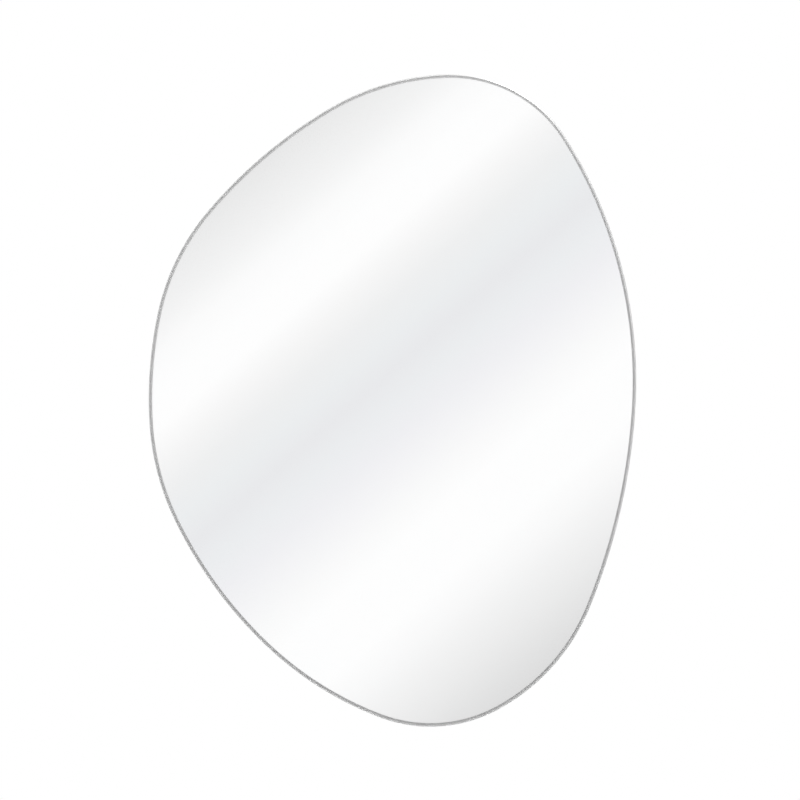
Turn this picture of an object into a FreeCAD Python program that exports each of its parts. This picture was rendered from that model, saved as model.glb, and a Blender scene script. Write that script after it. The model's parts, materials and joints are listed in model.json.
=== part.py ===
import FreeCAD, Part
import math
import os

# Frameless wall mirror with a free-form outline. Millimetres.
# X runs to the right as seen from the front, Z up, and Y from the room into the wall.
# The origin is the centre of the whole mirror's box, half way through its depth.

Vec = FreeCAD.Vector
INTO_WALL = Vec(0, 1, 0)
INTO_ROOM = Vec(0, -1, 0)

# The outline is a closed run of round stretches, each tangent to the next, going
# anticlockwise as seen from the front and starting at the right-hand side.
# Each stretch: the heading that it ends on (degrees, 0 to the right) and its radius.
# The two stretches marked CLOSING get the radii that bring the run back to its start.
first_heading = 86
CLOSING = None
outline_stretches = (
    (122, 561),
    (181, CLOSING),
    (210, 301),
    (229, 589),
    (258, 287),
    (273, 508),
    (296, 319),
    (317, 529),
    (340, 416),
    (389, CLOSING),
    (428, 254),
    (446, 773),
)

# Glass pane and its coatings
glass_thickness = 5.0
arris_width = 2.0
silver_thickness = 0.05
paint_thickness = 0.10
coating_inset = 4.0

# Tape and adhesive between the pane and the board
tape_thickness = 1.6
tape_width = 25.0
tape_pitch = 80.0
tape_count = 5
tape_end_gap = 14.0
bead_width = 9.0
bead_end_gap = 26.0

# Backing board
board_thickness = 9.0
board_inset = 25.0
board_chamfer = 1.5

# Strap hangers, placed level and evenly about the mirror's balance line
hanger_spacing = 300.0
hanger_height = 190.0
strap_thickness = 1.2
strap_width = 16.0
strap_length = 46.0
eye_running_clearance = 0.08
eye_wrap_angle = 300.0
screw_distances = (11.5, 33.0)
strap_hole_radius = 2.2

# D-shaped rings
ring_wire_radius = 1.4
ring_inner_width = 20.0
ring_corner_radius = 3.0
ring_side_length = 7.0
ring_corner_steps = 3
ring_bow_steps = 15
ring_tip_gap = 0.3

# Pan-head wood screws, their heads drawn as plain discs
screw_shank_radius = 1.75
screw_length = 9.0
screw_point_length = 2.5
screw_tip_radius = 0.3
screw_head_radius = 3.75
screw_head_height = 2.3
pilot_clearance = 0.03

# Wall bumpers, stuck near the board's four rounded corners
bumper_height = 6.0
bumper_radius = 8.5
bumper_edge_chamfer = 1.0
bumper_places = {
    "top_left": (-125.0, 262.0),
    "top_right": (172.0, 262.0),
    "bottom_left": (-150.0, -245.0),
    "bottom_right": (182.0, -245.0),
}

# Depths, stacked from the room side to the wall
layers = (glass_thickness, silver_thickness, paint_thickness, tape_thickness, board_thickness,
          bumper_height)
front_y = -sum(layers) / 2
glass_back_y = front_y + glass_thickness
silver_back_y = glass_back_y + silver_thickness
paint_back_y = silver_back_y + paint_thickness
board_front_y = paint_back_y + tape_thickness
board_back_y = board_front_y + board_thickness

# The ring's bar lies in the strap's eye, one wall thickness above the board
eye_inner_radius = ring_wire_radius + eye_running_clearance
eye_outer_radius = eye_inner_radius + strap_thickness
bar_y = board_back_y + eye_outer_radius
ring_half_width = ring_inner_width / 2 + ring_wire_radius
ring_reach = ring_side_length + ring_half_width


def heading_vector(degrees):
    angle = math.radians(degrees)
    return Vec(math.cos(angle), 0, math.sin(angle))


def inward_normal(degrees):
    return heading_vector(degrees + 90)


def closed_radii():
    """Radii of all stretches, with the two closing ones solved so that the run closes."""
    start = first_heading
    swings = []
    for end, radius in outline_stretches:
        swings.append(inward_normal(start) - inward_normal(end))
        start = end
    radii = [radius for end, radius in outline_stretches]
    a, b = [i for i, radius in enumerate(radii) if radius is CLOSING]
    gap = Vec()
    for radius, swing in zip(radii, swings):
        if radius is not CLOSING:
            gap -= swing * radius
    det = swings[a].x * swings[b].z - swings[b].x * swings[a].z
    radii[a] = (gap.x * swings[b].z - swings[b].x * gap.z) / det
    radii[b] = (swings[a].x * gap.z - gap.x * swings[a].z) / det
    return radii


def run_of_arcs(inset, start_point):
    """The outline's arcs, drawn inset from the edge; every arc keeps its centre."""
    edges = []
    point = start_point + inward_normal(first_heading) * inset
    heading = first_heading
    for (end, given), full_radius in zip(outline_stretches, closed_radii()):
        radius = full_radius - inset
        centre = point + inward_normal(heading) * radius
        middle = centre - inward_normal((heading + end) / 2) * radius
        last = centre - inward_normal(end) * radius
        edges.append(Part.Arc(point, middle, last).toShape())
        point = last
        heading = end
    return edges


def centring_shift():
    """Moves the outline so that its box is centred on the origin."""
    box = Part.Wire(run_of_arcs(0, Vec())).BoundBox
    return Vec(-(box.XMin + box.XMax) / 2, 0, -(box.ZMin + box.ZMax) / 2)


outline_start = centring_shift()


def outline_face(inset, y):
    wire = Part.Wire(run_of_arcs(inset, outline_start))
    wire.translate(Vec(0, y, 0))
    return Part.Face(wire)


def outline_plate(inset, y, thickness):
    return outline_face(inset, y).extrude(INTO_WALL * thickness)


# The upright line through the mirror's centre of weight, which the hangers stand evenly about
balance_x = outline_face(0, 0).CenterOfMass.x
hanger_positions = {
    "left": balance_x - hanger_spacing / 2,
    "right": balance_x + hanger_spacing / 2,
}


def upright_columns(count):
    """Evenly pitched x positions, centred on the balance line."""
    return [balance_x + (i - (count - 1) / 2) * tape_pitch for i in range(count)]


def edges_at(shape, y):
    """The edges that lie flat in the plane at depth y."""
    same = 1e-4
    return [e for e in shape.Edges if y - same < e.BoundBox.YMin and e.BoundBox.YMax < y + same]


def save(name, shape):
    shape.exportStep(os.path.join("parts", name + ".step"))
    box = shape.BoundBox
    print("%-28s %7.1f x %6.2f x %6.1f  volume %10.1f  valid %s"
          % (name, box.XLength, box.YLength, box.ZLength, shape.Volume, shape.isValid()))


def glass_pane():
    """The pane's edge is ground flat, with an arris taken off both faces."""
    pane = outline_plate(0, front_y, glass_thickness)
    rims = edges_at(pane, front_y) + edges_at(pane, glass_back_y)
    return pane.makeChamfer(arris_width, rims)


def vertical_span(x, half_width, inset):
    """How far a straight upright strip at x reaches up and down inside the inset outline."""
    face = outline_face(inset, 0)
    reach = face.BoundBox.ZLength
    lows = []
    highs = []
    for side in (x - half_width, x + half_width):
        cut = Part.makeLine(Vec(side, 0, -reach), Vec(side, 0, reach)).common(face)
        lows.append(cut.BoundBox.ZMin)
        highs.append(cut.BoundBox.ZMax)
    return max(lows), min(highs)


def tape_strip(x):
    low, high = vertical_span(x, tape_width / 2, board_inset + tape_end_gap)
    corner = Vec(x - tape_width / 2, paint_back_y, low)
    return Part.makeBox(tape_width, tape_thickness, high - low, corner)


def adhesive_bead(x):
    """A bead pressed flat between pane and board, with round ends."""
    half = bead_width / 2
    low, high = vertical_span(x, half, board_inset + bead_end_gap)
    left = Part.makeLine(Vec(x - half, paint_back_y, high - half), Vec(x - half, paint_back_y, low + half))
    bottom = Part.Arc(Vec(x - half, paint_back_y, low + half), Vec(x, paint_back_y, low),
                      Vec(x + half, paint_back_y, low + half)).toShape()
    right = Part.makeLine(Vec(x + half, paint_back_y, low + half), Vec(x + half, paint_back_y, high - half))
    top = Part.Arc(Vec(x + half, paint_back_y, high - half), Vec(x, paint_back_y, high),
                   Vec(x - half, paint_back_y, high - half)).toShape()
    return Part.Face(Part.Wire([left, bottom, right, top])).extrude(INTO_WALL * tape_thickness)


def screw_seats(hanger_x):
    """Where a hanger's screws stand on the board."""
    return [Vec(hanger_x, board_back_y, hanger_height - d) for d in screw_distances]


def backing_board():
    """Fibreboard with a chamfer on the wall side and a drilled hole under each screw."""
    board = outline_plate(board_inset, board_front_y, board_thickness)
    board = board.makeChamfer(board_chamfer, edges_at(board, board_back_y))
    hole_radius = screw_shank_radius + pilot_clearance
    hole_depth = screw_length - strap_thickness + pilot_clearance
    for hanger_x in hanger_positions.values():
        for seat in screw_seats(hanger_x):
            board = board.cut(Part.makeCylinder(hole_radius, hole_depth, seat, INTO_ROOM))
    return board


def hanger_strap(hanger_x):
    """Flat strap on the board, its upper end rolled into an eye round the ring's bar."""
    half = strap_width / 2
    end_z = hanger_height - strap_length
    flat = Part.makeBox(strap_width, strap_thickness, strap_length - half,
                        Vec(hanger_x - half, board_back_y, end_z + half))
    round_end = Part.makeCylinder(half, strap_thickness, Vec(hanger_x, board_back_y, end_z + half),
                                  INTO_WALL)
    bar_end = Vec(hanger_x - half, bar_y, hanger_height)
    roll = Part.makeCylinder(eye_outer_radius, strap_width, bar_end, Vec(1, 0, 0), eye_wrap_angle)
    roll.rotate(bar_end, Vec(1, 0, 0), 180)
    strap = flat.fuse([round_end, roll])
    strap = strap.cut(Part.makeCylinder(eye_inner_radius, strap_width, bar_end, Vec(1, 0, 0)))
    for seat in screw_seats(hanger_x):
        hole = Part.makeCylinder(strap_hole_radius, strap_thickness, seat, INTO_WALL)
        strap = strap.cut(hole)
    return strap.removeSplitter()


def hanger_ring(hanger_x):
    """Wire bent to a D: round sections set along it, joined by straight lengths."""
    corner_x = ring_half_width - ring_corner_radius
    bends = (
        (Vec(corner_x, 0, ring_corner_radius), ring_corner_radius, 0, 90, ring_corner_steps),
        (Vec(0, 0, ring_side_length), ring_half_width, 90, 270, ring_bow_steps),
        (Vec(-corner_x, 0, ring_corner_radius), ring_corner_radius, 270, 360, ring_corner_steps),
    )
    sections = []
    for centre, radius, start, end, steps in bends:
        for i in range(steps + 1):
            heading = start + (end - start) * i / steps
            place = centre - inward_normal(heading) * radius
            circle = Part.makeCircle(ring_wire_radius, place, heading_vector(heading))
            sections.append(Part.Wire(circle))
    ring = Part.makeLoft(sections, True, True, True)
    ring.rotate(Vec(), Vec(1, 0, 0), ring_lean())
    ring.translate(Vec(hanger_x, bar_y, hanger_height))
    return ring


def ring_lean():
    """The bow leans back against the board, by this many degrees from upright."""
    drop = eye_outer_radius - ring_wire_radius - ring_tip_gap
    return math.degrees(math.asin(drop / ring_reach))


def hanger_screw(seat):
    """Wood screw: its head bears on the strap, its shank and point lie in the board's hole."""
    head_seat = seat + INTO_WALL * strap_thickness
    shank_length = screw_length - screw_point_length
    neck = head_seat + INTO_ROOM * shank_length
    head = Part.makeCylinder(screw_head_radius, screw_head_height, head_seat, INTO_WALL)
    shank = Part.makeCylinder(screw_shank_radius, shank_length, head_seat, INTO_ROOM)
    point = Part.makeCone(screw_shank_radius, screw_tip_radius, screw_point_length, neck, INTO_ROOM)
    return head.fuse([shank, point]).removeSplitter()


def wall_bumper(x, z):
    """Soft round bumper, chamfered round the face that meets the wall."""
    base = Vec(x, board_back_y, z)
    bumper = Part.makeCylinder(bumper_radius, bumper_height, base, INTO_WALL)
    return bumper.makeChamfer(bumper_edge_chamfer, edges_at(bumper, board_back_y + bumper_height))


os.makedirs("parts", exist_ok=True)

save("mirror_glass", glass_pane())
save("silver_coating", outline_plate(coating_inset, glass_back_y, silver_thickness))
save("backing_paint", outline_plate(coating_inset, silver_back_y, paint_thickness))

for number, x in enumerate(upright_columns(tape_count), 1):
    save("mounting_tape_%d" % number, tape_strip(x))

for number, x in enumerate(upright_columns(tape_count - 1), 1):
    save("adhesive_bead_%d" % number, adhesive_bead(x))

save("backing_board", backing_board())

for side, hanger_x in hanger_positions.items():
    save("hanger_strap_" + side, hanger_strap(hanger_x))
    save("hanger_ring_" + side, hanger_ring(hanger_x))
    for place, seat in zip(("upper", "lower"), screw_seats(hanger_x)):
        save("hanger_screw_%s_%s" % (side, place), hanger_screw(seat))

for corner, (x, z) in bumper_places.items():
    save("wall_bumper_" + corner, wall_bumper(x, z))

whole = outline_face(0, front_y).BoundBox
print("outline %.1f wide, %.1f high; depth %.2f; balance line at x %.2f"
      % (whole.XLength, whole.ZLength, sum(layers), balance_x))
print("ring bar at y %.3f, ring leans %.2f degrees, board back at y %.3f"
      % (bar_y, ring_lean(), board_back_y))
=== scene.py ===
import bmesh
import bpy
import json
import math
from mathutils import Matrix, Vector


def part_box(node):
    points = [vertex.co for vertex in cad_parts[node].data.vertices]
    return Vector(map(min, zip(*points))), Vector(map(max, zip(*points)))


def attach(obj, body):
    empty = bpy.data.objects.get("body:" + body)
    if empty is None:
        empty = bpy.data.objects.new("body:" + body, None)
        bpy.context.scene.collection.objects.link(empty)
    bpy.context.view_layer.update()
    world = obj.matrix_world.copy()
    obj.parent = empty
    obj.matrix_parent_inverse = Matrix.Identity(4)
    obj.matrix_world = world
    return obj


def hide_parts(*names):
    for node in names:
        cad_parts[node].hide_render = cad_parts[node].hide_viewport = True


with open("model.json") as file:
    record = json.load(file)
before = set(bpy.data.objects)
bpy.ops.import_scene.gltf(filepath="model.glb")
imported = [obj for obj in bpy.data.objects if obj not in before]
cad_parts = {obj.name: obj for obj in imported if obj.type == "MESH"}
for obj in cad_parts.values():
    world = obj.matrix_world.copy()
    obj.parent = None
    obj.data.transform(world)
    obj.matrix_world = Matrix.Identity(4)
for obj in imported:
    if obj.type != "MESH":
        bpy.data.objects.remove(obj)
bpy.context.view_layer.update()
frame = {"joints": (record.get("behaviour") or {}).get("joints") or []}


# ---------------------------------------------------------------- the glass pane
# The pane is 5 mm float glass, cut to a free-form outline of round stretches that run
# smoothly into each other. Its edge is ground flat on a fine wheel, with an arris taken off
# both faces, and the silver stops a little way inside it.

mm = 0.001
into_wall = Vector((0, 1, 0))
pane_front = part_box("mirror_glass")[0].y
pane_thickness = 5 * mm
arris_width = 2.0 * mm
coating_inset = 4.0 * mm
outline_step = 5 * mm

# Each stretch: the heading that it ends on, in degrees, and its radius in millimetres. They are
# rounded from a fit of arcs to the photograph's outline. The two radii with decimals are the
# ones that bring the run back to its start.
first_heading = 86
round_stretches = (
    (122, 561),
    (181, 168.367),
    (210, 301),
    (229, 589),
    (258, 287),
    (273, 508),
    (296, 319),
    (317, 529),
    (340, 416),
    (389, 174.972),
    (428, 254),
    (446, 773),
)


def inward(heading):
    """Towards the middle of the mirror from a point where the outline runs at that heading."""
    angle = math.radians(heading)
    return Vector((-math.sin(angle), 0, math.cos(angle)))


def outline_ring(bm, inset, depth):
    """One closed ring of edges: a point is spun round the centre of each stretch in turn."""
    first = point = bm.verts.new((0, 0, 0))
    heading = first_heading
    for end, radius in round_stretches:
        own_radius = radius * mm - inset
        sweep = math.radians(end - heading)
        turned = bmesh.ops.spin(
            bm, geom=[point], cent=point.co + inward(heading) * own_radius, axis=(0, -1, 0),
            angle=sweep, steps=round(own_radius * sweep / outline_step))
        point = next(v for v in turned["geom_last"] if isinstance(v, bmesh.types.BMVert))
        heading = end
    point.co = first.co
    bmesh.ops.remove_doubles(bm, verts=[first, point], dist=0.01 * mm)
    across = [v.co.x for v in bm.verts]
    upward = [v.co.z for v in bm.verts]
    centring = Vector((-(min(across) + max(across)) / 2, depth, -(min(upward) + max(upward)) / 2))
    bmesh.ops.translate(bm, verts=bm.verts, vec=centring)
    return list(bm.edges)


def outline_plate(inset, front, thickness):
    """A plate of the mirror's outline, set in from the edge, with clean square sides."""
    bm = bmesh.new()
    ring = outline_ring(bm, inset, front)
    bmesh.ops.contextual_create(bm, geom=ring)
    lifted = bmesh.ops.extrude_face_region(bm, geom=list(bm.faces))
    moved = [v for v in lifted["geom"] if isinstance(v, bmesh.types.BMVert)]
    bmesh.ops.translate(bm, verts=moved, vec=into_wall * thickness)
    bmesh.ops.recalc_face_normals(bm, faces=list(bm.faces))
    return bm


def rim_edges(bm, depth):
    """The edges that lie flat at that depth."""
    return [e for e in bm.edges if all(abs(v.co.y - depth) < 0.001 * mm for v in e.verts)]


def round_over(bm, edges, radius, segments):
    bmesh.ops.bevel(bm, geom=edges, offset=radius, offset_type='OFFSET', segments=segments,
                    profile=0.5, affect='EDGES', material=-1)


def is_flat_side(face):
    """True for the big front and back faces of a plate, and not for its edge."""
    return abs(face.normal.y) > 0.9999 and len(face.verts) > 4


def shade_curves(bm, crease=30):
    """Smooth shading on the curved faces, broken where faces meet at more than the crease angle."""
    for face in bm.faces:
        face.smooth = not is_flat_side(face)
    for edge in bm.edges:
        edge.smooth = edge.calc_face_angle(0) < math.radians(crease)


def finished_piece(name, bm, body, materials):
    mesh = bpy.data.meshes.new(name)
    bm.to_mesh(mesh)
    bm.free()
    for material in materials:
        mesh.materials.append(material)
    piece = bpy.data.objects.new(name, mesh)
    bpy.context.scene.collection.objects.link(piece)
    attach(piece, body)
    return piece


def new_finish(name):
    """A material with one Principled shader, returned with its node tree and that shader."""
    material = bpy.data.materials.new(name)
    material.use_nodes = True
    tree = material.node_tree
    return material, tree, tree.nodes["Principled BSDF"]


def object_noise(tree, scale, detail=2.0, stretch=(1, 1, 1)):
    """Fine noise fixed to the piece, stretched along an axis where that axis has a small value."""
    place = tree.nodes.new("ShaderNodeTexCoord")
    mapping = tree.nodes.new("ShaderNodeMapping")
    mapping.inputs["Scale"].default_value = stretch
    noise = tree.nodes.new("ShaderNodeTexNoise")
    noise.inputs["Scale"].default_value = scale
    noise.inputs["Detail"].default_value = detail
    tree.links.new(place.outputs["Object"], mapping.inputs["Vector"])
    tree.links.new(mapping.outputs["Vector"], noise.inputs["Vector"])
    return noise.outputs["Fac"]


def between(tree, source, low, high):
    """Spreads a 0 to 1 pattern between two values, or between two colours."""
    if isinstance(low, tuple):
        ramp = tree.nodes.new("ShaderNodeValToRGB")
        ramp.color_ramp.elements[0].position = 0.3
        ramp.color_ramp.elements[0].color = (*low, 1)
        ramp.color_ramp.elements[1].position = 0.7
        ramp.color_ramp.elements[1].color = (*high, 1)
        tree.links.new(source, ramp.inputs["Fac"])
        return ramp.outputs["Color"]
    spread = tree.nodes.new("ShaderNodeMapRange")
    spread.inputs["From Min"].default_value = 0.3
    spread.inputs["From Max"].default_value = 0.7
    spread.inputs["To Min"].default_value = low
    spread.inputs["To Max"].default_value = high
    tree.links.new(source, spread.inputs["Value"])
    return spread.outputs["Result"]


def clear_glass():
    material, tree, shader = new_finish("clear_float_glass")
    shader.inputs["Base Color"].default_value = (1.0, 1.0, 1.0, 1)
    shader.inputs["Roughness"].default_value = 0.0
    shader.inputs["IOR"].default_value = 1.52
    shader.inputs["Transmission Weight"].default_value = 1.0
    return material


def ground_glass_edge():
    """Fine-ground glass: satin and half see-through, with wheel lines that run along the edge."""
    material, tree, shader = new_finish("ground_glass_edge")
    wheel_lines = object_noise(tree, 60, 3.0, (1, 90, 1))
    tree.links.new(between(tree, wheel_lines, (0.80, 0.80, 0.80), (0.88, 0.88, 0.88)),
                   shader.inputs["Base Color"])
    tree.links.new(between(tree, wheel_lines, 0.38, 0.50), shader.inputs["Roughness"])
    shader.inputs["IOR"].default_value = 1.52
    shader.inputs["Transmission Weight"].default_value = 0.6
    return material


def silvering(name):
    material, tree, shader = new_finish(name)
    shader.inputs["Base Color"].default_value = (0.99, 0.992, 0.993, 1)
    shader.inputs["Metallic"].default_value = 1.0
    shader.inputs["Roughness"].default_value = 0.0
    return material


pane_bm = outline_plate(0, pane_front, pane_thickness)
round_over(pane_bm, rim_edges(pane_bm, pane_front) + rim_edges(pane_bm, pane_front + pane_thickness),
           arris_width, 1)
back_face = next(f for f in pane_bm.faces if is_flat_side(f) and f.normal.y > 0)
bmesh.ops.inset_region(pane_bm, faces=[back_face], thickness=coating_inset - arris_width)
shade_curves(pane_bm)
for face in pane_bm.faces:
    face.material_index = 1
    if is_flat_side(face):
        face.material_index = 0 if face.normal.y < 0 else 2
pane = finished_piece("glass_pane", pane_bm, "mirror",
                      [clear_glass(), ground_glass_edge(), silvering("silvered_face")])
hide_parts("mirror_glass")


# ---------------------------------------------------------------- silver and paint
# Behind the pane lie the silver with its copper, a film far thinner than a hair, and two
# curtain-coated coats of grey paint that keep damp off it. All stop 4 mm short of the edge.

silver_front, silver_back = (corner.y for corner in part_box("silver_coating"))
paint_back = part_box("backing_paint")[1].y
bond_line = 0.005 * mm


def bump(tree, source, shader, height, strength=1.0):
    """Lets a pattern stand up from the surface by that height."""
    relief = tree.nodes.new("ShaderNodeBump")
    relief.inputs["Distance"].default_value = height
    relief.inputs["Strength"].default_value = strength
    tree.links.new(source, relief.inputs["Height"])
    tree.links.new(relief.outputs["Normal"], shader.inputs["Normal"])


def back_paint():
    """Matt grey paint with the faint orange peel of a curtain coat."""
    material, tree, shader = new_finish("mirror_back_paint")
    cloud = object_noise(tree, 9, 4.0)
    peel = object_noise(tree, 900, 2.0)
    tree.links.new(between(tree, cloud, (0.155, 0.165, 0.170), (0.185, 0.195, 0.200)),
                   shader.inputs["Base Color"])
    tree.links.new(between(tree, peel, 0.50, 0.62), shader.inputs["Roughness"])
    bump(tree, peel, shader, 0.02 * mm, 0.4)
    return material


silver_bm = outline_plate(coating_inset, silver_front + bond_line, silver_back - silver_front - bond_line)
silver = finished_piece("silver_layer", silver_bm, "mirror", [silvering("silver_film")])
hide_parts("silver_coating")

paint_bm = outline_plate(coating_inset, silver_back, paint_back - silver_back)
paint = finished_piece("paint_coats", paint_bm, "mirror", [back_paint()])
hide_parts("backing_paint")


# ---------------------------------------------------------------- tape and adhesive
# Five strips of black foam mounting tape hold the pane on its board from the first minute.
# Four beads of neutral-cure silicone between them, squeezed flat when the two are pressed
# together, take over once they have cured.

board_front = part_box("backing_board")[0].y


def foam_tape():
    """Closed-cell foam: near black, with pinhead cells along its cut sides."""
    material, tree, shader = new_finish("black_foam_tape")
    cells = object_noise(tree, 1600, 3.0)
    tree.links.new(between(tree, cells, (0.010, 0.010, 0.011), (0.028, 0.028, 0.030)),
                   shader.inputs["Base Color"])
    tree.links.new(between(tree, cells, 0.75, 0.95), shader.inputs["Roughness"])
    bump(tree, cells, shader, 0.15 * mm)
    return material


def silicone_adhesive():
    """Milky neutral-cure silicone, a little cloudy and slightly shiny."""
    material, tree, shader = new_finish("silicone_adhesive")
    cloud = object_noise(tree, 220, 3.0)
    tree.links.new(between(tree, cloud, (0.58, 0.57, 0.53), (0.68, 0.67, 0.63)),
                   shader.inputs["Base Color"])
    tree.links.new(between(tree, cloud, 0.30, 0.45), shader.inputs["Roughness"])
    shader.inputs["Subsurface Weight"].default_value = 0.15
    shader.inputs["Subsurface Radius"].default_value = (0.002, 0.002, 0.002)
    return material


def rings_between(bm, front, back):
    """The vertices that lie between the front and back of a flat piece, not on either."""
    return [v for v in bm.verts if front + 0.05 * mm < v.co.y < back - 0.05 * mm]


def split_depth(bm, cuts):
    """Adds rings of edges round the sides of a flat piece."""
    upright = [e for e in bm.edges if abs(e.verts[0].co.y - e.verts[1].co.y) > 0.5 * mm]
    bmesh.ops.subdivide_edges(bm, edges=upright, cuts=cuts, use_grid_fill=True)


foam = foam_tape()
foam_drawn_in = 0.985
for number in range(1, 6):
    low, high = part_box("mounting_tape_%d" % number)
    tape_bm = bmesh.new()
    strip = Matrix.Translation((low + high) / 2) @ Matrix.Diagonal((*(high - low), 1))
    bmesh.ops.create_cube(tape_bm, size=1, matrix=strip)
    split_depth(tape_bm, 3)
    middle = rings_between(tape_bm, low.y, high.y)
    bmesh.ops.scale(tape_bm, verts=middle, vec=(foam_drawn_in, 1, 1),
                    space=Matrix.Translation(-(low + high) / 2))
    tape = finished_piece("foam_tape_%d" % number, tape_bm, "mirror", [foam])
    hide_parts("mounting_tape_%d" % number)

silicone = silicone_adhesive()
bead_wander = 0.9 * mm
bead_bulge = 1.06
bead_drift_waves = 90
bead_edge_waves = 210
bead_side_cuts = 70
for number in range(1, 5):
    low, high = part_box("adhesive_bead_%d" % number)
    centre = (low + high) / 2
    half = (high.x - low.x) / 2 - bead_wander
    bead_bm = bmesh.new()
    corner = bead_bm.verts.new((centre.x + half, low.y, high.z - half))
    for end_z in (high.z - half, low.z + half):
        turned = bmesh.ops.spin(bead_bm, geom=[corner], cent=(centre.x, low.y, end_z), axis=(0, -1, 0),
                                angle=math.pi, steps=12)
        corner = next(v for v in turned["geom_last"] if isinstance(v, bmesh.types.BMVert))
        run = bmesh.ops.extrude_vert_indiv(bead_bm, verts=[corner])
        corner = run["verts"][0]
        corner.co.z = low.z + half if end_z > centre.z else high.z - half
    bmesh.ops.remove_doubles(bead_bm, verts=list(bead_bm.verts), dist=0.01 * mm)
    long_sides = [e for e in bead_bm.edges if e.calc_length() > 50 * mm]
    bmesh.ops.subdivide_edges(bead_bm, edges=long_sides, cuts=bead_side_cuts)
    for v in bead_bm.verts:
        side = 1 if v.co.x > centre.x else -1
        drift = math.sin(v.co.z * bead_drift_waves + number)
        v.co.x += bead_wander * 0.5 * (drift + side * math.sin(v.co.z * bead_edge_waves))
    bmesh.ops.contextual_create(bead_bm, geom=list(bead_bm.edges))
    pressed = bmesh.ops.extrude_face_region(bead_bm, geom=list(bead_bm.faces))
    moved = [v for v in pressed["geom"] if isinstance(v, bmesh.types.BMVert)]
    bmesh.ops.translate(bead_bm, verts=moved, vec=into_wall * (high.y - low.y))
    split_depth(bead_bm, 3)
    bmesh.ops.scale(bead_bm, verts=rings_between(bead_bm, low.y, high.y), vec=(bead_bulge, 1, 1),
                    space=Matrix.Translation(-centre))
    bmesh.ops.recalc_face_normals(bead_bm, faces=list(bead_bm.faces))
    shade_curves(bead_bm)
    bead = finished_piece("silicone_bead_%d" % number, bead_bm, "mirror", [silicone])
    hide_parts("adhesive_bead_%d" % number)


# ---------------------------------------------------------------- the backing board
# The board is 9 mm medium-density fibreboard, routed to the mirror's outline 25 mm inside the
# edge so that it stays out of sight. Its wall-side rim is chamfered and all of it is sanded.
# A pilot hole stands under each hanger screw.

board_inset = 25 * mm
board_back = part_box("backing_board")[1].y
board_chamfer = 1.5 * mm
sanded_rim = 0.3 * mm
pilot_radius = 1.78 * mm
pilot_depth = 7.8 * mm
overcut = 1 * mm
hanger_bars = {joint["child"].split("_")[0]: Vector(joint["pos_m"]) for joint in frame["joints"]}
screw_drops = {"upper": 11.5 * mm, "lower": 33 * mm}


def fibreboard_face():
    """Sanded faces: pale tan, with fine darker and lighter fibres lying every way."""
    material, tree, shader = new_finish("fibreboard_face")
    cloud = object_noise(tree, 14, 5.0)
    fibres_across = object_noise(tree, 260, 4.0, (1, 1, 6))
    fibres_along = object_noise(tree, 260, 4.0, (6, 1, 1))
    flecks = tree.nodes.new("ShaderNodeMath")
    flecks.operation = 'MULTIPLY_ADD'
    flecks.inputs[1].default_value = 0.5
    tree.links.new(fibres_across, flecks.inputs[0])
    halved = tree.nodes.new("ShaderNodeMath")
    halved.operation = 'MULTIPLY'
    halved.inputs[1].default_value = 0.5
    tree.links.new(fibres_along, halved.inputs[0])
    tree.links.new(halved.outputs["Value"], flecks.inputs[2])
    tint = tree.nodes.new("ShaderNodeMix")
    tint.data_type = 'RGBA'
    tint.blend_type = 'MULTIPLY'
    tint.inputs["Factor"].default_value = 1.0
    tree.links.new(between(tree, flecks.outputs["Value"], (0.36, 0.235, 0.13), (0.52, 0.36, 0.215)),
                   tint.inputs["A"])
    tree.links.new(between(tree, cloud, (0.90, 0.90, 0.90), (1.0, 1.0, 1.0)), tint.inputs["B"])
    tree.links.new(tint.outputs["Result"], shader.inputs["Base Color"])
    tree.links.new(between(tree, flecks.outputs["Value"], 0.62, 0.80), shader.inputs["Roughness"])
    bump(tree, flecks.outputs["Value"], shader, 0.05 * mm, 0.5)
    return material


def fibreboard_edge():
    """Routed edge: darker and rougher, denser towards the two faces, with faint cutter waves."""
    material, tree, shader = new_finish("fibreboard_edge")
    layers = object_noise(tree, 90, 3.0, (0.3, 14, 0.3))
    fuzz = object_noise(tree, 1400, 3.0)
    tree.links.new(between(tree, layers, (0.27, 0.165, 0.085), (0.36, 0.235, 0.13)),
                   shader.inputs["Base Color"])
    tree.links.new(between(tree, fuzz, 0.78, 0.92), shader.inputs["Roughness"])
    bump(tree, fuzz, shader, 0.12 * mm, 0.6)
    return material


def turned_solid(profile, seat, axis, steps=40):
    """A closed round solid: profile points (radius, distance along the axis) are spun once round."""
    bm = bmesh.new()
    outwards = axis.orthogonal().normalized()
    chain = [bm.verts.new(seat + outwards * radius + axis * along) for radius, along in profile]
    links = [bm.edges.new(pair) for pair in zip(chain, chain[1:])]
    bmesh.ops.spin(bm, geom=chain + links, cent=seat, axis=axis, angle=2 * math.pi, steps=steps,
                   use_merge=True)
    bmesh.ops.remove_doubles(bm, verts=list(bm.verts), dist=0.001 * mm)
    bmesh.ops.recalc_face_normals(bm, faces=list(bm.faces))
    return bm


def cut_away(piece, cutter_bm):
    """Cuts the cutter's shape out of a piece for good."""
    mesh = bpy.data.meshes.new("cutter")
    cutter_bm.to_mesh(mesh)
    cutter_bm.free()
    cutter = bpy.data.objects.new("cutter", mesh)
    bpy.context.scene.collection.objects.link(cutter)
    cut = piece.modifiers.new("cut", 'BOOLEAN')
    cut.operation = 'DIFFERENCE'
    cut.solver = 'EXACT'
    cut.use_self = True
    cut.object = cutter
    graph = bpy.context.evaluated_depsgraph_get()
    result = bpy.data.meshes.new_from_object(piece.evaluated_get(graph))
    piece.modifiers.remove(cut)
    piece.data = result
    bpy.data.objects.remove(cutter)


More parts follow.
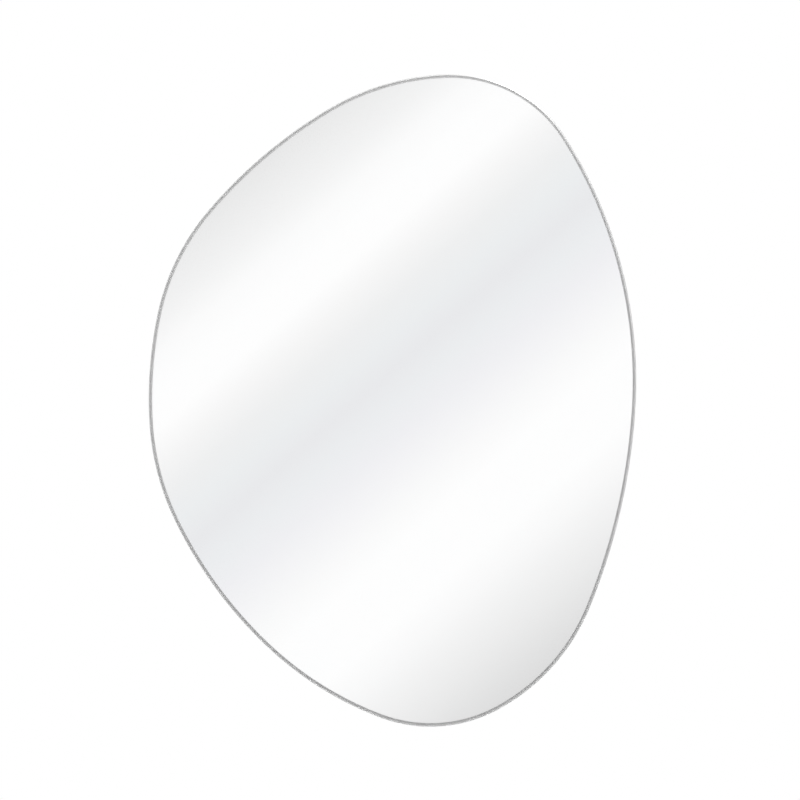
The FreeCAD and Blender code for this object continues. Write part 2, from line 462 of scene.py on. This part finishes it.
def screw_seats(bar):
    """Where a hanger's two screws stand on the board."""
    return {place: Vector((bar.x, board_back, bar.z - drop)) for place, drop in screw_drops.items()}


board_bm = outline_plate(board_inset, board_front, board_back - board_front)
round_over(board_bm, rim_edges(board_bm, board_back), board_chamfer, 1)
round_over(board_bm, rim_edges(board_bm, board_front), sanded_rim, 2)
shade_curves(board_bm)
for face in board_bm.faces:
    face.material_index = 0 if is_flat_side(face) else 1
board = finished_piece("fibreboard_back", board_bm, "mirror", [fibreboard_face(), fibreboard_edge()])
for bar in hanger_bars.values():
    for seat in screw_seats(bar).values():
        pilot = ((0, -pilot_depth), (pilot_radius, -pilot_depth), (pilot_radius, overcut), (0, overcut))
        cut_away(board, turned_solid(pilot, seat, into_wall, 24))
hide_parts("backing_board")


# ---------------------------------------------------------------- the strap hangers
# Each hanger is a strip of 1.2 mm zinc-plated steel, punched with two screw holes, cut round
# at its lower end and rolled at its upper end into an eye round the ring's bar.

strap_thickness = 1.2 * mm
strap_width = 16 * mm
strap_length = 46 * mm
eye_inner_radius = 1.48 * mm
eye_outer_radius = eye_inner_radius + strap_thickness
eye_wrap = math.radians(300)
strap_hole_radius = 2.2 * mm
burr_rounding = 0.15 * mm


def zinc_plate(name, grain):
    """Bright zinc: cool grey with a faint straw and blue bloom, drawn lightly along the strip."""
    material, tree, shader = new_finish(name)
    bloom = object_noise(tree, 130, 3.0)
    drawn = object_noise(tree, 700, 3.0, grain)
    tree.links.new(between(tree, bloom, (0.60, 0.62, 0.66), (0.70, 0.69, 0.65)),
                   shader.inputs["Base Color"])
    shader.inputs["Metallic"].default_value = 1.0
    tree.links.new(between(tree, drawn, 0.22, 0.38), shader.inputs["Roughness"])
    bump(tree, drawn, shader, 0.01 * mm, 0.5)
    return material


def tumbled_edges(piece, width):
    """The small rounding that tumbling and plating leave on every sharp edge."""
    rounding = piece.modifiers.new("edge_rounding", 'BEVEL')
    rounding.width = width
    rounding.segments = 2
    rounding.limit_method = 'ANGLE'
    rounding.angle_limit = math.radians(35)


def strap_side_view(bm, corner, bar):
    """The strap seen from the side: up the board, round the bar, and back along the other face."""
    foot = bm.verts.new(corner + Vector((0, 0, -strap_length)))
    heel = bm.verts.new(corner)
    bm.edges.new((foot, heel))
    point = heel
    inner_side = False
    for turn in (eye_wrap, -eye_wrap):
        turned = bmesh.ops.spin(bm, geom=[point], cent=bar, axis=(-1, 0, 0), angle=turn, steps=30)
        point = next(v for v in turned["geom_last"] if isinstance(v, bmesh.types.BMVert))
        if not inner_side:
            tip = bm.verts.new(bar + (point.co - bar) * (eye_inner_radius / eye_outer_radius))
            bm.edges.new((point, tip))
            point = tip
            inner_side = True
    toe = bm.verts.new(foot.co + into_wall * strap_thickness)
    bm.edges.new((point, toe))
    bm.edges.new((toe, foot))


zinc = zinc_plate("zinc_plated_strap", (6, 6, 0.4))
for side, bar in hanger_bars.items():
    strap_bm = bmesh.new()
    edge_bar = bar - Vector((strap_width / 2, 0, 0))
    strap_side_view(strap_bm, Vector((edge_bar.x, board_back, bar.z)), edge_bar)
    bmesh.ops.contextual_create(strap_bm, geom=list(strap_bm.edges))
    drawn = bmesh.ops.extrude_face_region(strap_bm, geom=list(strap_bm.faces))
    moved = [v for v in drawn["geom"] if isinstance(v, bmesh.types.BMVert)]
    bmesh.ops.translate(strap_bm, verts=moved, vec=(strap_width, 0, 0))
    bmesh.ops.recalc_face_normals(strap_bm, faces=list(strap_bm.faces))
    lower_end = bar.z - strap_length
    end_corners = [e for e in strap_bm.edges
                   if all(abs(v.co.z - lower_end) < 0.01 * mm for v in e.verts)
                   and abs(e.verts[0].co.y - e.verts[1].co.y) > 0.5 * mm]
    round_over(strap_bm, end_corners, strap_width / 2 - 0.01 * mm, 12)
    for face in strap_bm.faces:
        face.smooth = len(face.verts) == 4
    for edge in strap_bm.edges:
        edge.smooth = edge.calc_face_angle(0) < math.radians(35)
    strap = finished_piece("strap_hanger_" + side, strap_bm, "mirror", [zinc])
    punched = strap_thickness + overcut
    for seat in screw_seats(bar).values():
        hole = ((0, -overcut), (strap_hole_radius, -overcut), (strap_hole_radius, punched), (0, punched))
        cut_away(strap, turned_solid(hole, seat, into_wall, 32))
    tumbled_edges(strap, burr_rounding)
    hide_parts("hanger_strap_" + side)


# ---------------------------------------------------------------- the rings
# The rings are 2.8 mm nickel-plated steel wire bent to a D. The straight bar turns freely in
# the strap's eye, and the bow leans on the board until a wall hook takes it.

wire_radius = 1.4 * mm
ring_inner_width = 20 * mm
ring_corner = 3 * mm
ring_side = 7 * mm
ring_tip_gap = 0.3 * mm
wire_half_width = ring_inner_width / 2 + wire_radius
ring_lean = math.asin((eye_outer_radius - wire_radius - ring_tip_gap) / (ring_side + wire_half_width))


def nickel_plate():
    """Bright nickel on drawn wire: warm silver with a faint fine mottle."""
    material, tree, shader = new_finish("nickel_plated_wire")
    bloom = object_noise(tree, 300, 2.0)
    tree.links.new(between(tree, bloom, (0.66, 0.64, 0.60), (0.74, 0.72, 0.69)),
                   shader.inputs["Base Color"])
    shader.inputs["Metallic"].default_value = 1.0
    tree.links.new(between(tree, bloom, 0.12, 0.20), shader.inputs["Roughness"])
    return material


def pushed_on(bm, ring, step):
    """Carries an open ring of edges straight on and returns the ring at the far end."""
    made = bmesh.ops.extrude_edge_only(bm, edges=ring)["geom"]
    bmesh.ops.translate(bm, verts=[v for v in made if isinstance(v, bmesh.types.BMVert)], vec=step)
    return [e for e in made if isinstance(e, bmesh.types.BMEdge) and e.is_boundary]


def bent_round(bm, ring, centre, angle, steps):
    """Carries an open ring of edges round a bend and returns the ring at the far end."""
    made = bmesh.ops.spin(bm, geom=ring, cent=centre, axis=(0, -1, 0), angle=math.radians(angle),
                          steps=steps)
    return [e for e in made["geom_last"] if isinstance(e, bmesh.types.BMEdge)]


nickel = nickel_plate()
for side, bar in hanger_bars.items():
    ring_bm = bmesh.new()
    straight = wire_half_width - ring_corner
    across_wire = Matrix.Translation((-straight, 0, 0)) @ Matrix.Rotation(math.pi / 2, 4, 'Y')
    bmesh.ops.create_circle(ring_bm, segments=28, radius=wire_radius, matrix=across_wire)
    end = list(ring_bm.edges)
    end = pushed_on(ring_bm, end, (2 * straight, 0, 0))
    end = bent_round(ring_bm, end, (straight, 0, ring_corner), 90, 10)
    end = pushed_on(ring_bm, end, (0, 0, ring_side - ring_corner))
    end = bent_round(ring_bm, end, (0, 0, ring_side), 180, 40)
    end = pushed_on(ring_bm, end, (0, 0, ring_corner - ring_side))
    end = bent_round(ring_bm, end, (-straight, 0, ring_corner), 90, 10)
    bmesh.ops.remove_doubles(ring_bm, verts=list(ring_bm.verts), dist=0.005 * mm)
    bmesh.ops.rotate(ring_bm, verts=list(ring_bm.verts), cent=(0, 0, 0),
                     matrix=Matrix.Rotation(ring_lean, 3, 'X'))
    bmesh.ops.translate(ring_bm, verts=list(ring_bm.verts), vec=bar)
    bmesh.ops.recalc_face_normals(ring_bm, faces=list(ring_bm.faces))
    shade_curves(ring_bm)
    ring = finished_piece("wire_ring_" + side, ring_bm, side + "_ring", [nickel])
    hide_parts("hanger_ring_" + side)


# ---------------------------------------------------------------- the screws
# Four pan-head wood screws, 3.5 mm across and zinc plated, hold the straps. Each head has a
# cross recess, and the thread cuts its own way into the board round the pilot hole.

head_radius = 3.75 * mm
head_height = 2.3 * mm
head_crown = 1.5 * mm
core_radius = 1.2 * mm
thread_radius = 1.75 * mm
thread_root = 1.08 * mm
thread_half_width = 0.35 * mm
plain_shank = 1.2 * mm
shoulder = 0.4 * mm
screw_reach = 9 * mm
point_length = 2.5 * mm
thread_pitch = 1.3 * mm
thread_steps_per_turn = 20
recess_span = 4.4 * mm
recess_width = 0.95 * mm
recess_depth = 1.4 * mm
recess_taper = 0.45


def cross_recess(top):
    """The tapered cross of a driver's point, standing in the head."""
    bm = bmesh.new()
    for span_x, span_z in ((recess_span, recess_width), (recess_width, recess_span)):
        arm = Matrix.Translation(top) @ Matrix.Diagonal((span_x, recess_depth * 2, span_z, 1))
        made = bmesh.ops.create_cube(bm, size=1, matrix=arm)
        deep = [v for v in made["verts"] if v.co.y < top.y]
        bmesh.ops.scale(bm, verts=deep, vec=(recess_taper, 1, recess_taper),
                        space=Matrix.Translation(-top))
    return bm


def thread(bm, head_seat):
    """One sharp ridge wound down the shank."""
    outer = bm.verts.new(head_seat + Vector((thread_radius, -plain_shank - thread_pitch, 0)))
    upper = bm.verts.new(outer.co + Vector((thread_root - thread_radius, thread_half_width, 0)))
    lower = bm.verts.new(outer.co + Vector((thread_root - thread_radius, -thread_half_width, 0)))
    ridge = bm.faces.new((outer, upper, lower))
    turns = (screw_reach - point_length - plain_shank - thread_pitch) / thread_pitch
    steps = round(turns * thread_steps_per_turn)
    bmesh.ops.spin(bm, geom=[ridge], cent=head_seat, axis=into_wall, angle=-turns * 2 * math.pi,
                   steps=steps, dvec=into_wall * (-turns * thread_pitch / steps))


zinc_screw = zinc_plate("zinc_plated_screw", (2, 2, 2))
for side, bar in hanger_bars.items():
    for place, seat in screw_seats(bar).items():
        head_seat = seat + into_wall * strap_thickness
        outline = (
            (0, head_height),
            (head_radius, head_height),
            (head_radius, 0),
            (thread_radius, 0),
            (thread_radius, -plain_shank),
            (core_radius, -plain_shank - shoulder),
            (core_radius, point_length - screw_reach),
            (0, -screw_reach),
        )
        screw_bm = turned_solid(outline, head_seat, into_wall)
        crown = rim_edges(screw_bm, head_seat.y + head_height)
        crown = [e for e in crown if abs((e.verts[0].co - head_seat).xz.length - head_radius) < 0.01 * mm]
        round_over(screw_bm, crown, head_crown, 6)
        thread(screw_bm, head_seat)
        bmesh.ops.recalc_face_normals(screw_bm, faces=list(screw_bm.faces))
        shade_curves(screw_bm, 35)
        screw = finished_piece("pan_head_screw_%s_%s" % (side, place), screw_bm, "mirror", [zinc_screw])
        cut_away(screw, cross_recess(head_seat + into_wall * head_height))
        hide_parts("hanger_screw_%s_%s" % (side, place))


# ---------------------------------------------------------------- the wall bumpers
# Four soft rubber bumpers, moulded with a slight taper and stuck down on a disc of adhesive,
# keep the mirror off the wall and level with its hooks.

bumper_base_radius = 8.5 * mm
bumper_wall_radius = 8.2 * mm
bumper_rounding = 0.8 * mm
dimple_depth = 0.35 * mm
dimple_rim = 5.2 * mm
dimple_floor = 4.6 * mm
adhesive_disc_radius = 8 * mm
adhesive_disc_height = 0.3 * mm


def bumper_rubber():
    """Dark grey rubber with a fine moulded grain and a little dust in it."""
    material, tree, shader = new_finish("bumper_rubber")
    grain = object_noise(tree, 2200, 2.0)
    dust = object_noise(tree, 160, 4.0)
    tree.links.new(between(tree, dust, (0.022, 0.022, 0.024), (0.036, 0.036, 0.038)),
                   shader.inputs["Base Color"])
    tree.links.new(between(tree, grain, 0.52, 0.68), shader.inputs["Roughness"])
    bump(tree, grain, shader, 0.03 * mm, 0.5)
    return material


rubber = bumper_rubber()
for corner in ("top_left", "top_right", "bottom_left", "bottom_right"):
    low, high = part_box("wall_bumper_" + corner)
    seat = Vector(((low.x + high.x) / 2, board_back, (low.z + high.z) / 2))
    height = high.y - board_back
    outline = (
        (0, 0),
        (adhesive_disc_radius, 0),
        (adhesive_disc_radius, adhesive_disc_height),
        (bumper_base_radius, adhesive_disc_height),
        (bumper_wall_radius, height),
        (dimple_rim, height),
        (dimple_floor, height - dimple_depth),
        (0, height - dimple_depth),
    )
    bumper_bm = turned_solid(outline, seat, into_wall, 56)
    lip = [e for e in rim_edges(bumper_bm, high.y)
           if abs((e.verts[0].co - seat).xz.length - bumper_wall_radius) < 0.01 * mm
           and abs((e.verts[1].co - seat).xz.length - bumper_wall_radius) < 0.01 * mm]
    round_over(bumper_bm, lip, bumper_rounding, 5)
    shade_curves(bumper_bm)
    bumper = finished_piece("rubber_bumper_" + corner, bumper_bm, "mirror", [rubber])
    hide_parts("wall_bumper_" + corner)


# ---------------------------------------------------------------- the view
# The camera stands a metre and a third in front of the pane and 4 degrees to its right, level
# with its middle, as in the photograph.

camera_swing = math.radians(4)
camera_distance = 1.3665
camera_lens = 50
aim_right = 0.01384
aim_height = 0.00083
aim = Vector((aim_right, pane_front + pane_thickness / 2, aim_height))
back = Vector((math.sin(camera_swing), -math.cos(camera_swing), 0))
camera_data = bpy.data.cameras.new("camera")
camera_data.lens = camera_lens
camera = bpy.data.objects.new("camera", camera_data)
bpy.context.scene.collection.objects.link(camera)
camera.location = aim + back * camera_distance
camera.rotation_mode = 'QUATERNION'
camera.rotation_quaternion = (-back).to_track_quat('-Z', 'Y')
bpy.context.scene.camera = camera


# ---------------------------------------------------------------- the studio
# A white studio. What the silver shows is the room behind the camera: long soft light
# strips that slant across it, brightest at their middle lines, with pale grey between.

# Each strip: the angle at which it crosses the view, in degrees, and its level. The levels from
# -14 to 14 degrees, and the tints, are fitted to the photograph's bands and rounded.
neutral = (1.0, 1.0, 1.0)
cool = (0.981, 1.0, 1.014)
lilac = (1.0, 1.0, 1.024)
tinted = {-2.5: cool, -1.7: lilac, -0.9: cool, 1.5: lilac}
strips = (
    (-180, 0.30),
    (-150, 0.70),
    (-120, 0.35),
    (-90, 0.80),
    (-55, 0.55),
    (-36, 0.95),
    (-22, 0.70),
    (-14, 0.80),
    (-10.5, 0.935),
    (-8, 1.025),
    (-5, 0.90),
    (-2.5, 0.855),
    (-1.7, 0.82),
    (-0.9, 0.85),
    (1.5, 0.88),
    (4.5, 0.975),
    (7, 1.03),
    (10, 0.95),
    (14, 0.775),
    (19, 0.65),
    (27, 0.93),
    (45, 0.60),
    (90, 0.45),
    (125, 0.90),
    (150, 0.35),
    (180, 0.30),
)
slant = math.radians(49)
room_level = 0.75


def studio_world():
    world = bpy.data.worlds.new("studio")
    bpy.context.scene.world = world
    world.use_nodes = True
    tree = world.node_tree
    tree.nodes.clear()
    ahead = Vector((-math.sin(camera_swing), -math.cos(camera_swing), 0))
    aside = Vector((math.cos(camera_swing), -math.sin(camera_swing), 0))
    across_strips = aside * math.cos(slant) - Vector((0, 0, 1)) * math.sin(slant)
    direction = tree.nodes.new("ShaderNodeTexCoord").outputs["Generated"]
    parts = []
    for axis in (across_strips, ahead):
        dot = tree.nodes.new("ShaderNodeVectorMath")
        dot.operation = 'DOT_PRODUCT'
        dot.inputs[1].default_value = axis
        tree.links.new(direction, dot.inputs[0])
        parts.append(dot.outputs["Value"])
    angle = tree.nodes.new("ShaderNodeMath")
    angle.operation = 'ARCTAN2'
    tree.links.new(parts[0], angle.inputs[0])
    tree.links.new(parts[1], angle.inputs[1])
    turn = tree.nodes.new("ShaderNodeMapRange")
    turn.inputs["From Min"].default_value = -math.pi
    turn.inputs["From Max"].default_value = math.pi
    tree.links.new(angle.outputs["Value"], turn.inputs["Value"])
    ramp = tree.nodes.new("ShaderNodeValToRGB")
    ramp.color_ramp.interpolation = 'CARDINAL'
    elements = ramp.color_ramp.elements
    elements[0].position = 0
    elements[1].position = 1
    for degrees, level in strips[1:-1]:
        elements.new((degrees + 180) / 360)
    for element, (degrees, level) in zip(elements, strips):
        tint = tinted.get(degrees, neutral)
        element.color = (*(level * channel for channel in tint), 1)
    tree.links.new(turn.outputs["Result"], ramp.inputs["Fac"])

    seen = tree.nodes.new("ShaderNodeLightPath")
    mirrored = tree.nodes.new("ShaderNodeBackground")
    tree.links.new(ramp.outputs["Color"], mirrored.inputs["Color"])
    white = tree.nodes.new("ShaderNodeBackground")
    white.inputs["Color"].default_value = (1, 1, 1, 1)
    room = tree.nodes.new("ShaderNodeBackground")
    room.inputs["Color"].default_value = (1, 1, 1, 1)
    room.inputs["Strength"].default_value = room_level
    in_glass = tree.nodes.new("ShaderNodeMath")
    in_glass.operation = 'MAXIMUM'
    tree.links.new(seen.outputs["Is Glossy Ray"], in_glass.inputs[0])
    tree.links.new(seen.outputs["Is Transmission Ray"], in_glass.inputs[1])
    lit = tree.nodes.new("ShaderNodeMixShader")
    tree.links.new(in_glass.outputs["Value"], lit.inputs[0])
    tree.links.new(room.outputs[0], lit.inputs[1])
    tree.links.new(mirrored.outputs[0], lit.inputs[2])
    whole = tree.nodes.new("ShaderNodeMixShader")
    tree.links.new(seen.outputs["Is Camera Ray"], whole.inputs[0])
    tree.links.new(lit.outputs[0], whole.inputs[1])
    tree.links.new(white.outputs[0], whole.inputs[2])
    output = tree.nodes.new("ShaderNodeOutputWorld")
    tree.links.new(whole.outputs[0], output.inputs["Surface"])


studio_world()
bpy.context.scene.view_settings.view_transform = 'Standard'


# ---------------------------------------------------------------- floor and lamps
# A round pale floor well below the hanging mirror, which fades into the white round it, and
# three soft lamps: a large one from the upper right, a fill from the left and one high up
# behind.

floor_height = -1.1
floor_radius = 1.6
floor_tone = 0.58
fade_start = 0.7
fade_end = floor_radius - 0.05
middle_glow = 0.3


def pale_floor():
    """Pale and matt. Seen directly it whitens towards its rim; in the mirror it thins out there."""
    material, tree, shader = new_finish("pale_floor")
    shader.inputs["Base Color"].default_value = (floor_tone, floor_tone, floor_tone, 1)
    shader.inputs["Roughness"].default_value = 0.9
    shader.inputs["Specular IOR Level"].default_value = 0.1
    place = tree.nodes.new("ShaderNodeTexCoord")
    reach = tree.nodes.new("ShaderNodeVectorMath")
    reach.operation = 'LENGTH'
    tree.links.new(place.outputs["Object"], reach.inputs[0])
    seen = tree.nodes.new("ShaderNodeLightPath")
    glow = tree.nodes.new("ShaderNodeEmission")
    clear = tree.nodes.new("ShaderNodeBsdfTransparent")
    floor_shader = shader
    for ray, middle, other in (("Is Camera Ray", middle_glow, glow), ("Is Glossy Ray", 0.0, clear)):
        rim = tree.nodes.new("ShaderNodeMapRange")
        rim.interpolation_type = 'SMOOTHSTEP'
        rim.inputs["From Min"].default_value = fade_start
        rim.inputs["From Max"].default_value = fade_end
        rim.inputs["To Min"].default_value = middle
        tree.links.new(reach.outputs["Value"], rim.inputs["Value"])
        share = tree.nodes.new("ShaderNodeMath")
        share.operation = 'MULTIPLY'
        tree.links.new(rim.outputs["Result"], share.inputs[0])
        tree.links.new(seen.outputs[ray], share.inputs[1])
        mix = tree.nodes.new("ShaderNodeMixShader")
        tree.links.new(share.outputs["Value"], mix.inputs[0])
        tree.links.new(floor_shader.outputs[0], mix.inputs[1])
        tree.links.new(other.outputs[0], mix.inputs[2])
        floor_shader = mix
    tree.links.new(floor_shader.outputs[0], tree.nodes["Material Output"].inputs["Surface"])
    return material


floor_bm = bmesh.new()
bmesh.ops.create_circle(floor_bm, cap_ends=True, segments=96, radius=floor_radius)
floor_mesh = bpy.data.meshes.new("floor")
floor_bm.to_mesh(floor_mesh)
floor_bm.free()
floor_mesh.materials.append(pale_floor())
floor = bpy.data.objects.new("floor", floor_mesh)
floor.location = (0, 0, floor_height)
bpy.context.scene.collection.objects.link(floor)


def soft_lamp(name, place, size, power):
    """A round area lamp that faces the middle of the mirror."""
    data = bpy.data.lights.new(name, 'AREA')
    data.shape = 'DISK'
    data.size = size
    data.energy = power
    lamp = bpy.data.objects.new(name, data)
    lamp.location = place
    lamp.rotation_mode = 'QUATERNION'
    lamp.rotation_quaternion = Vector(place).to_track_quat('Z', 'Y')
    bpy.context.scene.collection.objects.link(lamp)


soft_lamp("key_upper_right", (1.1, -1.3, 2.9), 1.4, 50)
soft_lamp("fill_left", (-2.6, -1.2, 0.6), 1.8, 15)
soft_lamp("high_behind", (1.0, 0.7, 2.4), 0.8, 65)
